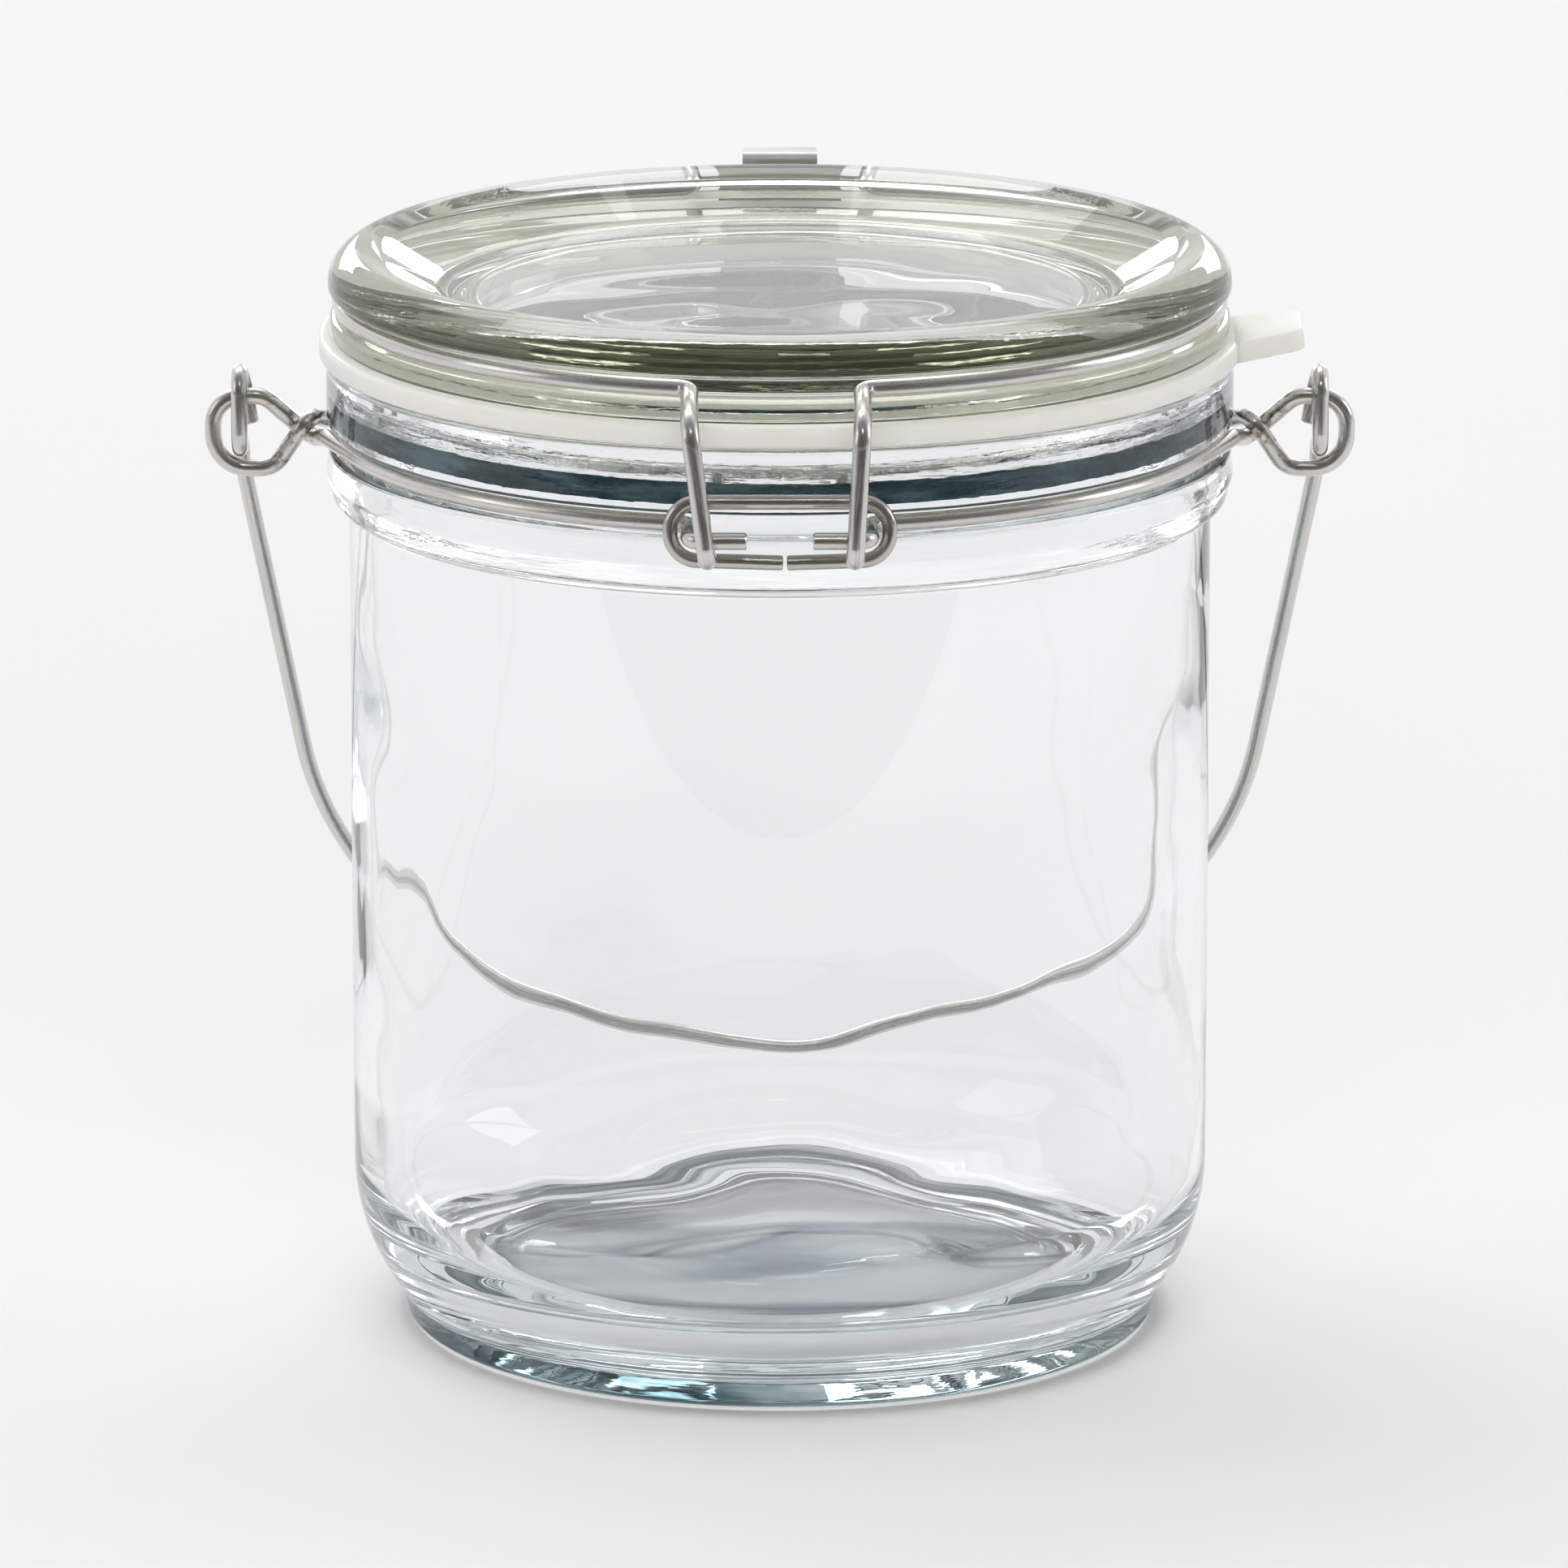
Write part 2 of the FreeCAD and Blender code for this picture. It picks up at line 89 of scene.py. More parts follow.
JAR = [
    (0, 2.8, 0), (34, 2.7, 15), (42.6, 0, 1), (45.9, 0, 1.2), (47, 4.8, 0.3),
    (47.95, 5.3, 0.05), (52.5, 11.94, 25.2), (52.5, 101.9, 0.6), (54.4, 102.9, 1.6),
    (55.2, 106, 2.4), (54.9, 109.25, 0.9), (52.3, 109.35, 0.7), (52.3, 112.15, 0.7),
    (55.2, 112.25, 0.7), (55.2, LAND_Z, 0.9), (45, LAND_Z, 0.8), (45, 116.5, 0.8),
    (49.7, 115, 1.1), (49.7, 6.9, 13), (20, 6.7, 30), (0, 7.6, 0),
]
LID = [
    (0, 124.3, 0), (38, 124.3, 1.6), (39.2, 118.4, 1.3), (42.4, 118.4, 1.3),
    (44, SEAT_Z - 2, 0.8), (44, SEAT_Z, 0.4), (54.7, SEAT_Z, 0.7),
    (54.7, SEAT_Z + 2.5, 0.7), (52.15, SEAT_Z + 2.7, 0.7), (52.15, 128.15, 0.7),
    (54.9, 128.35, 0.9), (54.9, 133.4, 4.1), (49.2, 133.4, 5), (41, 128.5, 4),
    (0, 128.8, 0),
]
GASKET = [
    (44.5, GASKET_LOW, 0.4), (56, GASKET_LOW, 0.6),
    (56, GASKET_LOW + GASKET_T, 0.6), (44.5, GASKET_LOW + GASKET_T, 0.4),
]

# where the jar's inner wall and inner floor are uneven, and how far in the unevenness fades
WALL_NEAR, WALL_FAR, WALL_LOW, WALL_HIGH = 48.5, 50.5, 16, 112
WALL_FADE_LOW, WALL_FADE_HIGH = 14, 12
FLOOR_OUT, FLOOR_LOW, FLOOR_HIGH, FLOOR_FADE = 42, 5.5, 10, 8

# the same for the lid's well and underside, and the tool rings inside its plug
WELL_OUT, WELL_LOW, WELL_FADE = 40, 127, 6
UNDER_OUT, UNDER_HIGH, UNDER_FADE = 36, 125, 5
PLUG_NEAR, PLUG_FAR, PLUG_LOW, PLUG_HIGH = 37, 40, 119.5, 123
TOOL_RING_DEPTH, TOOL_RING_TURN = 0.07, 4.4

# the jar's faces whose colour holds painted shade (inner floor swirls, foot streaks, neck step band), by
# radius and height
BASE_OUT, BASE_LOW, BASE_HIGH = 38, 5, 12
FOOT_NEAR, FOOT_HIGH = 45.5, 2.9
STEP_NEAR, STEP_FAR, STEP_LOW, STEP_HIGH = 48.9, 49.75, 112.6, 116.2
BASE_SLOT, FOOT_SLOT, STEP_SLOT = 1, 2, 3

# facets: how many round a jar or lid, round the gasket, and round a wire
TURNED_SIDES, GASKET_SIDES, WIRE_SIDES = 288, 240, 28


# ---------------------------------------------------------------------------
# shape helpers
# ---------------------------------------------------------------------------

def rounded_corner(before, corner, after, bend, steps):
    """Points and outward directions along the round at one corner."""
    a = (before - corner).normalized()
    b = (after - corner).normalized()
    half = a.angle(b) / 2
    reach = bend / math.tan(half)
    centre = corner + (a + b).normalized() * (bend / math.sin(half))
    first = corner + a * reach - centre
    last = corner + b * reach - centre
    turn = first.angle(last)
    points = []
    for i in range(steps + 1):
        t = i / steps
        arm = (first * math.sin((1 - t) * turn) + last * math.sin(t * turn)) / math.sin(turn)
        points.append((centre + arm, arm.normalized()))
    return points


def new_object(name, verts, faces, normals=None):
    mesh = bpy.data.meshes.new(name)
    mesh.from_pydata([tuple(Vector(v) * MM) for v in verts], [], faces)
    mesh.update()
    mesh.polygons.foreach_set("use_smooth", [True] * len(mesh.polygons))
    if normals:
        mesh.normals_split_custom_set_from_vertices([tuple(n) for n in normals])
    obj = bpy.data.objects.new(name, mesh)
    bpy.context.collection.objects.link(obj)
    return obj


def profile_line(corners, closed):
    """(radius, height, normal r, normal z) along a turned profile, with true normals."""
    count = len(corners)
    spots = [Vector((r, z)) for r, z, bend in corners]
    out = []
    for i in range(count):
        p, bend = spots[i], corners[i][2]
        before, after = spots[i - 1], spots[(i + 1) % count]
        if not closed and i in (0, count - 1):
            out.append((p, Vector((0, -1 if i == 0 else 1))))
            continue
        turn_left = (p - before).cross(after - p) > 0
        angle = (p - before).angle(after - p)
        steps = max(3, min(24, int(math.degrees(angle) / 6) + int(bend / 2)))
        flip = 1 if turn_left else -1
        out += [(q, n * flip) for q, n in rounded_corner(before, p, after, bend, steps)]
    return out


def subdivided(line, longest):
    """Adds points on long straight runs, so that ripples have vertices to move."""
    out = [line[0]]
    for (p, n), (q, m) in zip(line, line[1:]):
        extra = int((q - p).length / longest)
        for k in range(1, extra + 1):
            t = k / (extra + 1)
            out.append((p.lerp(q, t), n.lerp(m, t).normalized()))
        out.append((q, m))
    return out


def turned(name, corners, segments, closed=False, longest=4.0, wave=None):
    """Revolved body. wave(spot) moves the surface a little along its normal, in millimetres."""
    line = subdivided(profile_line(corners, closed), longest)
    verts, normals, rows = [], [], []
    for p, n in line:
        count = 1 if p.x < 1e-6 else segments
        rows.append([len(verts) + k for k in range(count)])
        for k in range(count):
            a = 2 * math.pi * k / segments
            outward = Vector((math.cos(a), math.sin(a), 0))
            around = Vector((-math.sin(a), math.cos(a), 0))
            normal = outward * n.x + UP * n.y
            spot = outward * p.x + UP * p.y
            if wave and wave(spot):
                spot, normal = waved(wave, spot, normal, around)
            verts.append(spot)
            normals.append(normal)
    faces = []
    pairs = list(zip(rows, rows[1:]))
    if closed:
        pairs.append((rows[-1], rows[0]))
    for low, high in pairs:
        for k in range(segments):
            m = (k + 1) % segments
            if len(low) == 1:
                faces.append((low[0], high[m], high[k]))
            elif len(high) == 1:
                faces.append((low[k], low[m], high[0]))
            else:
                faces.append((low[k], low[m], high[m], high[k]))
    return new_object(name, verts, faces, normals)


def waved(wave, spot, normal, around):
    """The spot moved by the wave, and the waved surface's own normal there."""
    step = 0.5
    tilted = normal.copy()
    for side in (around, around.cross(normal)):
        slope = (wave(spot + side * step) - wave(spot - side * step)) / (2 * step)
        tilted -= side * slope
    return spot + normal * wave(spot), tilted.normalized()


def path_points(points, bends):
    """Straight runs joined by tangent rounds, as a dense list of points."""
    out = [points[0]]
    for i, bend in enumerate(bends):
        before, corner, after = points[i], points[i + 1], points[i + 2]
        angle = (corner - before).angle(after - corner)
        steps = max(3, int(math.degrees(angle) / 7))
        out += [p for p, n in rounded_corner(before, corner, after, bend, steps)]
    out.append(points[-1])
    return out


def arc_points(radius, from_deg, to_deg, z):
    count = max(2, int(abs(to_deg - from_deg) / 2))
    return [on_ring(radius, from_deg + (to_deg - from_deg) * i / count, z) for i in range(count + 1)]


def on_ring(radius, deg, z):
    a = math.radians(deg)
    return Vector((radius * math.cos(a), radius * math.sin(a), z))


def tangent_spot(radius, deg, z, step):
    a = math.radians(deg)
    return on_ring(radius, deg, z) + Vector((-math.sin(a), math.cos(a), 0)) * step


def tangent_to_x(radius, deg, z, x):
    a = math.radians(deg)
    return tangent_spot(radius, deg, z, (x - radius * math.cos(a)) / -math.sin(a))


def flipped(points):
    return [Vector((-p.x, p.y, p.z)) for p in reversed(points)]


def tube(name, points, radius):
    """Round wire along the points, with slightly broken edges at its cut ends."""
    sides, closest, edge = WIRE_SIDES, 0.02, radius * 0.18
    path = [points[0]]
    for p in points[1:]:
        if (p - path[-1]).length > closest:
            path.append(p)
    tangents = []
    for i in range(len(path)):
        a, b = path[max(i - 1, 0)], path[min(i + 1, len(path) - 1)]
        tangents.append((b - a).normalized())
    stations = [(path[0], tangents[0], radius - edge)]
    stations.append((path[0] + tangents[0] * edge, tangents[0], radius))
    stations += [(p, t, radius) for p, t in list(zip(path, tangents))[1:-1]]
    stations.append((path[-1] - tangents[-1] * edge, tangents[-1], radius))
    stations.append((path[-1], tangents[-1], radius - edge))
    side = tangents[0].orthogonal().normalized()
    verts, faces, drawn = [], [], []
    last, travelled = stations[0], 0.0
    for p, t, r in stations:
        side = Quaternion(last[1].rotation_difference(t)) @ side
        travelled += (p - last[0]).length
        last = (p, t)
        other = t.cross(side).normalized()
        for k in range(sides):
            a = 2 * math.pi * k / sides
            verts.append(p + side * (r * math.cos(a)) + other * (r * math.sin(a)))
            drawn += [travelled / 10, math.cos(a), math.sin(a)]
    for i in range(len(stations) - 1):
        for k in range(sides):
            m = (k + 1) % sides
            faces.append((i * sides + k, i * sides + m, (i + 1) * sides + m, (i + 1) * sides + k))
    end = len(verts) - sides
    faces.append(tuple(reversed(range(sides))))
    faces.append(tuple(range(end, end + sides)))
    obj = new_object(name, verts, faces)
    for face in obj.data.polygons[-2:]:
        face.use_smooth = False
    obj.data.set_sharp_from_angle(angle=math.radians(40))
    # place along the wire in centimetres, and round it, for the drawing marks in its finish
    marks = obj.data.attributes.new("drawn", "FLOAT_VECTOR", "POINT")
    marks.data.foreach_set("vector", drawn)
    return obj


# ---------------------------------------------------------------------------
# pieces
# ---------------------------------------------------------------------------

def uneven(spot, size, height, shift):
    """Smooth unevenness of cast glass: bumps about size across."""
    return height * noise.noise(spot / size + Vector((shift, 0, 0)))


def jar_wave(spot):
    """The blown inside is uneven: long waves in the wall, deeper pools in the thick floor."""
    r, z = math.hypot(spot.x, spot.y), spot.z
    if WALL_NEAR < r < WALL_FAR and WALL_LOW < z < WALL_HIGH:
        fade = min(1.0, (z - WALL_LOW) / WALL_FADE_LOW, (WALL_HIGH - z) / WALL_FADE_HIGH)
        long_waves = uneven(spot, size=28, height=1.1, shift=3.1)
        return fade * (long_waves + uneven(spot, size=11, height=0.12, shift=8.4))
    if r < FLOOR_OUT and FLOOR_LOW < z < FLOOR_HIGH:
        fade = min(1.0, (FLOOR_OUT - r) / FLOOR_FADE)
        pools = uneven(spot, size=20, height=0.4, shift=5.2)
        return fade * (pools + uneven(spot, size=8, height=0.06, shift=1.7))
    return 0.0


def lid_wave(spot):
    """Pressed glass: a slightly wavy well and underside, and tool rings inside the plug."""
    r, z = math.hypot(spot.x, spot.y), spot.z
    if r < WELL_OUT and z > WELL_LOW:
        return min(1.0, (WELL_OUT - r) / WELL_FADE) * uneven(spot, size=20, height=0.05, shift=2.6)
    if r < UNDER_OUT and PLUG_HIGH < z < UNDER_HIGH:
        return min(1.0, (UNDER_OUT - r) / UNDER_FADE) * uneven(spot, size=15, height=0.05, shift=7.3)
    if PLUG_NEAR < r < PLUG_FAR and PLUG_LOW < z < PLUG_HIGH:
        return TOOL_RING_DEPTH * math.sin(z * TOOL_RING_TURN)
    return 0.0


def make_jar():
    return turned("jar_glass", JAR, TURNED_SIDES, longest=1.6, wave=jar_wave)


def make_lid():
    return turned("lid_glass", LID, TURNED_SIDES, longest=2.2, wave=lid_wave)


def make_gasket():
    return turned("gasket_band", GASKET, GASKET_SIDES, closed=True)


def make_tab():
    """Pull tab, lifted a little at its tip, with softly broken edges."""
    low = GASKET_LOW + TAB_RAISE
    mid_z = low + TAB_T / 2
    outline = [Vector((TAB_ROOT_X, -TAB_ROOT_HALF, 0)), Vector((TAB_TIP_X, -TAB_TIP_HALF, 0)),
               Vector((TAB_TIP_X, TAB_TIP_HALF, 0)), Vector((TAB_ROOT_X, TAB_ROOT_HALF, 0))]
    ring = path_points(outline, [TAB_CORNER, TAB_CORNER])
    middle = Vector((TAB_MIDDLE_X, 0, 0))
    cos, sin = math.cos(math.radians(TAB_LIFT_DEG)), math.sin(math.radians(TAB_LIFT_DEG))

    def lifted(p):
        x, z = p.x - TAB_TURN_X, p.z - mid_z
        return (TAB_TURN_X + x * cos - z * sin, p.y, mid_z + x * sin + z * cos)

    slight = 0.1
    levels = [(TAB_EDGE, 0.0), (slight, slight), (0, TAB_EDGE), (0, TAB_T - TAB_EDGE),
              (slight, TAB_T - slight), (TAB_EDGE, TAB_T)]
    verts, faces = [], []
    for shrink, h in levels:
        for p in ring:
            q = p + (middle - p).normalized() * shrink
            verts.append(lifted(Vector((q.x, q.y, low + h))))
    n = len(ring)
    for i in range(len(levels) - 1):
        for k in range(n):
            m = (k + 1) % n
            faces.append((i * n + k, i * n + m, (i + 1) * n + m, (i + 1) * n + k))
    faces.append(tuple(reversed(range(n))))
    top = (len(levels) - 1) * n
    faces.append(tuple(range(top, top + n)))
    obj = new_object("gasket_tab", verts, faces)
    obj.data.set_sharp_from_angle(angle=math.radians(50))
    return obj


def rear_half(radius, deg, z):
    """Half of a hinge bar: off the ring, then across behind the jar."""
    return [on_ring(radius, deg, z), tangent_to_x(radius, deg, z, HINGE_X), Vector((HINGE_X, HINGE_Y, z))]


def make_neck_wire():
    front_deg = -math.degrees(math.acos(FRONT_TURN_X / NECK_R))
    rear_deg = math.degrees(math.acos(REAR_TURN_X / NECK_R))
    stub = [Vector((STUB_TIP_X, STUB_Y, STUB_Z)), Vector((STUB_TURN_X, STUB_Y, STUB_Z)),
            tangent_to_x(NECK_R, front_deg, NECK_Z, STUB_TURN_X), on_ring(NECK_R, front_deg, NECK_Z)]
    lead = tangent_spot(NECK_R, -SIDE_DEG, NECK_Z, SIDE_LEAD)
    eye = [
        on_ring(NECK_R, -SIDE_DEG, NECK_Z), lead, Vector((CROSS_FRONT_X, CROSS_Y, CROSS_LOW_Z)),
        Vector((EYE_TOP_X, 0, LOOP_TOP)), Vector((EYE_OUT_X, 0, LOOP_TOP)),
        Vector((EYE_OUT_X, 0, LOOP_LOW)), Vector((EYE_LOW_X, 0, LOOP_LOW)),
        Vector((CROSS_REAR_X, -CROSS_Y, CROSS_HIGH_Z)),
        Vector((lead.x, -lead.y, NECK_Z)), on_ring(NECK_R, SIDE_DEG, NECK_Z),
    ]
    half = rear_half(NECK_R, rear_deg, NECK_Z)
    line = path_points(stub, [TURN_BEND] * 2)
    line += arc_points(NECK_R, front_deg, -SIDE_DEG, NECK_Z)
    line += path_points(eye, EYE_BENDS)
    line += arc_points(NECK_R, SIDE_DEG, rear_deg, NECK_Z)
    line += path_points(half + flipped(half), [TURN_BEND] * 4)
    line += arc_points(NECK_R, 180 - rear_deg, 180 - SIDE_DEG, NECK_Z)
    line += path_points(flipped(eye), EYE_BENDS[::-1])
    line += arc_points(NECK_R, 180 + SIDE_DEG, 180 - front_deg, NECK_Z)
    line += path_points(flipped(stub), [TURN_BEND] * 2)
    return tube("neck_wire_steel", line, NECK_WIRE_R)


def clasp_leg(top_x, low_x):
    deg = -math.degrees(math.acos((top_x + LEG_TURN) / LID_RING_R))
    return deg, [
        Vector((low_x, HOOK_END_Y, HOOK_END_Z)), Vector((low_x, HOOK_BASE_Y, HOOK_LOW_Z)),
        Vector((low_x, LEG_Y, HOOK_LOW_Z)), Vector((top_x, LEG_Y, LEG_TOP_Z)),
        tangent_to_x(LID_RING_R, deg, LID_RING_Z, top_x), on_ring(LID_RING_R, deg, LID_RING_Z),
    ]


def make_lid_wire():
    rear_deg = math.degrees(math.acos(REAR_TURN_X / LID_RING_R))
    right_deg, right_leg = clasp_leg(RIGHT_LEG_TOP_X, RIGHT_LEG_LOW_X)
    left_deg, left_leg = clasp_leg(LEFT_LEG_TOP_X, LEFT_LEG_LOW_X)
    half = rear_half(LID_RING_R, rear_deg, LID_RING_Z)
    line = path_points(right_leg, LEG_BENDS)
    line += arc_points(LID_RING_R, right_deg, rear_deg, LID_RING_Z)
    line += path_points(half + flipped(half), [TURN_BEND] * 4)
    line += arc_points(LID_RING_R, 180 - rear_deg, 180 - left_deg, LID_RING_Z)
    line += path_points(flipped(left_leg), LEG_BENDS[::-1])
    return tube("lid_wire_steel", line, LID_WIRE_R)


def make_clasp_ring():
    corners = [(BUTT_RIGHT_X, CLASP_LOW - BUTT_SAG), (CLASP_HALF, CLASP_LOW), (CLASP_HALF, CLASP_TOP),
               (-CLASP_HALF, CLASP_TOP), (-CLASP_HALF, CLASP_LOW), (BUTT_LEFT_X, CLASP_LOW - BUTT_SAG)]
    points = [Vector((x, CLASP_Y, z)) for x, z in corners]
    return tube("clasp_ring_steel", path_points(points, [CLASP_BEND] * 4), RING_WIRE_R)


def make_handle():
    lean = math.radians(HANDLE_LEAN_DEG)
    down = Vector((0, math.sin(lean), -math.cos(lean)))

    def hung(u, v):
        return Vector((u, 0, LOOP_TOP)) + down * v

    def on_bow(angle):
        return hung(BOW_R * math.cos(angle), BOW_CENTRE + BOW_R * math.sin(angle))

    rise = BOW_CENTRE - KNEE_TO_BOW
    swing = math.acos(BOW_R / math.hypot(HANDLE_X, rise)) - math.atan2(rise, HANDLE_X)
    top_z, knee_z = LOOP_TOP + HOOK_RISE, LOOP_TOP - KNEE_DROP
    right = [
        Vector((HANDLE_X - HOOK_TIP_IN, HOOK_HALF, LOOP_TOP - HOOK_TIP_DROP)),
        Vector((HANDLE_X, HOOK_HALF, top_z)), Vector((HANDLE_X, -HOOK_HALF, top_z)),
        Vector((HANDLE_X, -HOOK_HALF, knee_z)), Vector((HANDLE_X, KNEE_OUT_Y, knee_z)),
        hung(HANDLE_X, KNEE_TO_BOW), on_bow(swing),
    ]
    count = 80
    line = path_points(right, HANDLE_BENDS)
    line += [on_bow(swing + (math.pi - 2 * swing) * i / count) for i in range(count + 1)]
    line += path_points(flipped(right), HANDLE_BENDS[::-1])
    return tube("handle_steel", line, HANDLE_WIRE_R)


# ---------------------------------------------------------------------------
# materials
# ---------------------------------------------------------------------------

# colour of the jar's glass in one surface, and in its depth
JAR_TINT = (0.983, 0.983, 0.988)
JAR_DEPTH, JAR_DENSITY = (0.45, 0.56, 0.59), 6


def node(tree, kind, **values):
    made = tree.nodes.new(kind)
    for key, value in values.items():
        setattr(made, key, value)
    return made


def start_material(name):
    mat = bpy.data.materials.new(name)
    mat.use_nodes = True
    return mat, mat.node_tree, mat.node_tree.nodes["Principled BSDF"]


def ramp(tree, source, stops):
    """Colour ramp fed by source; stops are (position, colour)."""
    r = node(tree, "ShaderNodeValToRGB")
    band = r.color_ramp
    band.interpolation = "EASE"
    while len(band.elements) < len(stops):
        band.elements.new(0.5)
    for element, (at, colour) in zip(band.elements, stops):
        element.position = at
        element.color = (*colour, 1)
    tree.links.new(source, r.inputs["Fac"])
    return r.outputs["Color"]


def spread(tree, source, low, high, to_low, to_high):
    m = node(tree, "ShaderNodeMapRange")
    m.inputs["From Min"].default_value = low
    m.inputs["From Max"].default_value = high
    m.inputs["To Min"].default_value = to_low
    m.inputs["To Max"].default_value = to_high
    tree.links.new(source, m.inputs["Value"])
    return m.outputs["Result"]


def noise_tex(tree, scale, detail=3.0, stretch=None, distortion=0.0):
    coords = node(tree, "ShaderNodeTexCoord")
    tex = node(tree, "ShaderNodeTexNoise")
    tex.inputs["Scale"].default_value = scale
    tex.inputs["Detail"].default_value = detail
    tex.inputs["Distortion"].default_value = distortion
    source = coords.outputs["Object"]
    if stretch:
        mapping = node(tree, "ShaderNodeMapping")
        mapping.inputs["Scale"].default_value = stretch
        tree.links.new(source, mapping.inputs["Vector"])
        source = mapping.outputs["Vector"]
    tree.links.new(source, tex.inputs["Vector"])
    return tex.outputs["Fac"]


def bump(tree, height, strength, distance, shader):
    b = node(tree, "ShaderNodeBump")
    b.inputs["Strength"].default_value = strength
    b.inputs["Distance"].default_value = distance
    tree.links.new(height, b.inputs["Height"])
    tree.links.new(b.outputs["Normal"], shader.inputs["Normal"])


def let_lamps_through(tree, shader, tint):
    """Lamps reach what is behind the glass, with a trace of its colour."""
    path = node(tree, "ShaderNodeLightPath")
    clear = node(tree, "ShaderNodeBsdfTransparent")
    clear.inputs["Color"].default_value = (*tint, 1)
    mix = node(tree, "ShaderNodeMixShader")
    tree.links.new(path.outputs["Is Shadow Ray"], mix.inputs["Fac"])
    tree.links.new(shader.outputs["BSDF"], mix.inputs[1])
    tree.links.new(clear.outputs["BSDF"], mix.inputs[2])
    tree.links.new(mix.outputs["Shader"], tree.nodes["Material Output"].inputs["Surface"])


def painted_edge_shade(tree, shader, clear, edge):
    """Painted shade: glass seen edge-on is tinted darker, for light passing along the wall and for the
    dark surroundings seen through the edge.
    """
    weight = node(tree, "ShaderNodeLayerWeight")
    weight.inputs["Blend"].default_value = 0.5
    tone = ramp(tree, weight.outputs["Facing"], [(0.8, clear), (0.96, edge)])
    tree.links.new(tone, shader.inputs["Base Color"])


def absorb(tree, colour, density):
    volume = node(tree, "ShaderNodeVolumeAbsorption")
    volume.inputs["Color"].default_value = (*colour, 1)
    volume.inputs["Density"].default_value = density
    tree.links.new(volume.outputs["Volume"], tree.nodes["Material Output"].inputs["Volume"])


def from_axis(tree):
    """Distance from the object's axis, in metres."""
    coords = node(tree, "ShaderNodeTexCoord")
    flat = node(tree, "ShaderNodeVectorMath", operation="MULTIPLY")
    flat.inputs[1].default_value = (1, 1, 0)
    size = node(tree, "ShaderNodeVectorMath", operation="LENGTH")
    tree.links.new(coords.outputs["Object"], flat.inputs[0])
    tree.links.new(flat.outputs["Vector"], size.inputs[0])
    return size.outputs["Value"]


def beyond(tree, near, far):
    """0 nearer the axis than near, 1 beyond far."""
    return spread(tree, from_axis(tree), near, far, 0.0, 1.0)


def times(tree, a, b):
    m = node(tree, "ShaderNodeMath", operation="MULTIPLY")
    tree.links.new(a, m.inputs[0])
    tree.links.new(b, m.inputs[1])
    return m.outputs[0]


def clear_glass(name, scored_from, scored_to, scale, strength):
    """Clear glass, scored round and round beyond the given radii and smooth inside them."""
    mat, tree, shader = start_material(name)
    shader.inputs["Transmission Weight"].default_value = 1
    shader.inputs["IOR"].default_value = 1.5
    rough = spread(tree, noise_tex(tree, scale=450, detail=4), 0.66, 0.85, 0.0, 0.02)
    tree.links.new(rough, shader.inputs["Roughness"])
    lines = noise_tex(tree, scale, detail=4, stretch=(1, 1, 8))
    scores = times(tree, lines, beyond(tree, scored_from, scored_to))
    bump(tree, scores, strength, 0.0005, shader)
    return mat, tree, shader


def jar_glass():
    mat, tree, shader = clear_glass("jar glass", 0.0531, 0.0545, 60, 0.25)
    # painted shade: the jar turns grey-teal where its wall is seen edge-on
    painted_edge_shade(tree, shader, (0.985, 0.99, 0.99), (0.38, 0.44, 0.46))
    let_lamps_through(tree, shader, JAR_TINT)
    absorb(tree, JAR_DEPTH, JAR_DENSITY)
    return mat


def base_glass_painted_swirls():
    """The thick inner floor, uneven blown glass, with painted shade: grey-blue swirls in its colour stand
    in for caustic light and shadow on the floor seen through it.
    """
    mat, tree, shader = clear_glass("base glass painted swirls", 0.0531, 0.0545, 60, 0.25)
    swirl = noise_tex(tree, scale=27, detail=0.6, stretch=(0.6, 1.5, 1), distortion=0.7)
    # painted shadow: dark grey-blue swirls, clear glass between them
    tone = ramp(tree, swirl, [(0.34, (0.99, 0.995, 0.995)), (0.42, (0.05, 0.07, 0.11)),
                              (0.46, (0.2, 0.26, 0.32)), (0.54, (0.99, 0.995, 0.995))])
    tree.links.new(tone, shader.inputs["Base Color"])
    let_lamps_through(tree, shader, JAR_TINT)
    absorb(tree, JAR_DEPTH, JAR_DENSITY)
    return mat


def foot_glass_painted_streaks():
    """The foot ring: solid glass with painted shade, dark blue-green streaks along its length that stand
    in for the dark surroundings seen through it.
    """
    mat, tree, shader = clear_glass("foot glass painted streaks", 0.043, 0.045, 50, 0.15)
    streaks = noise_tex(tree, scale=26, detail=4, stretch=(1, 1, 11), distortion=0.3)
    # painted shade: near-black teal streaks fading to clear
    tone = ramp(tree, streaks, [(0.43, (0.035, 0.07, 0.085)), (0.55, (0.24, 0.32, 0.34)),
                                (0.68, (0.8, 0.84, 0.84))])
    tree.links.new(tone, shader.inputs["Base Color"])
    let_lamps_through(tree, shader, JAR_TINT)
    absorb(tree, JAR_DEPTH, JAR_DENSITY)
    return mat


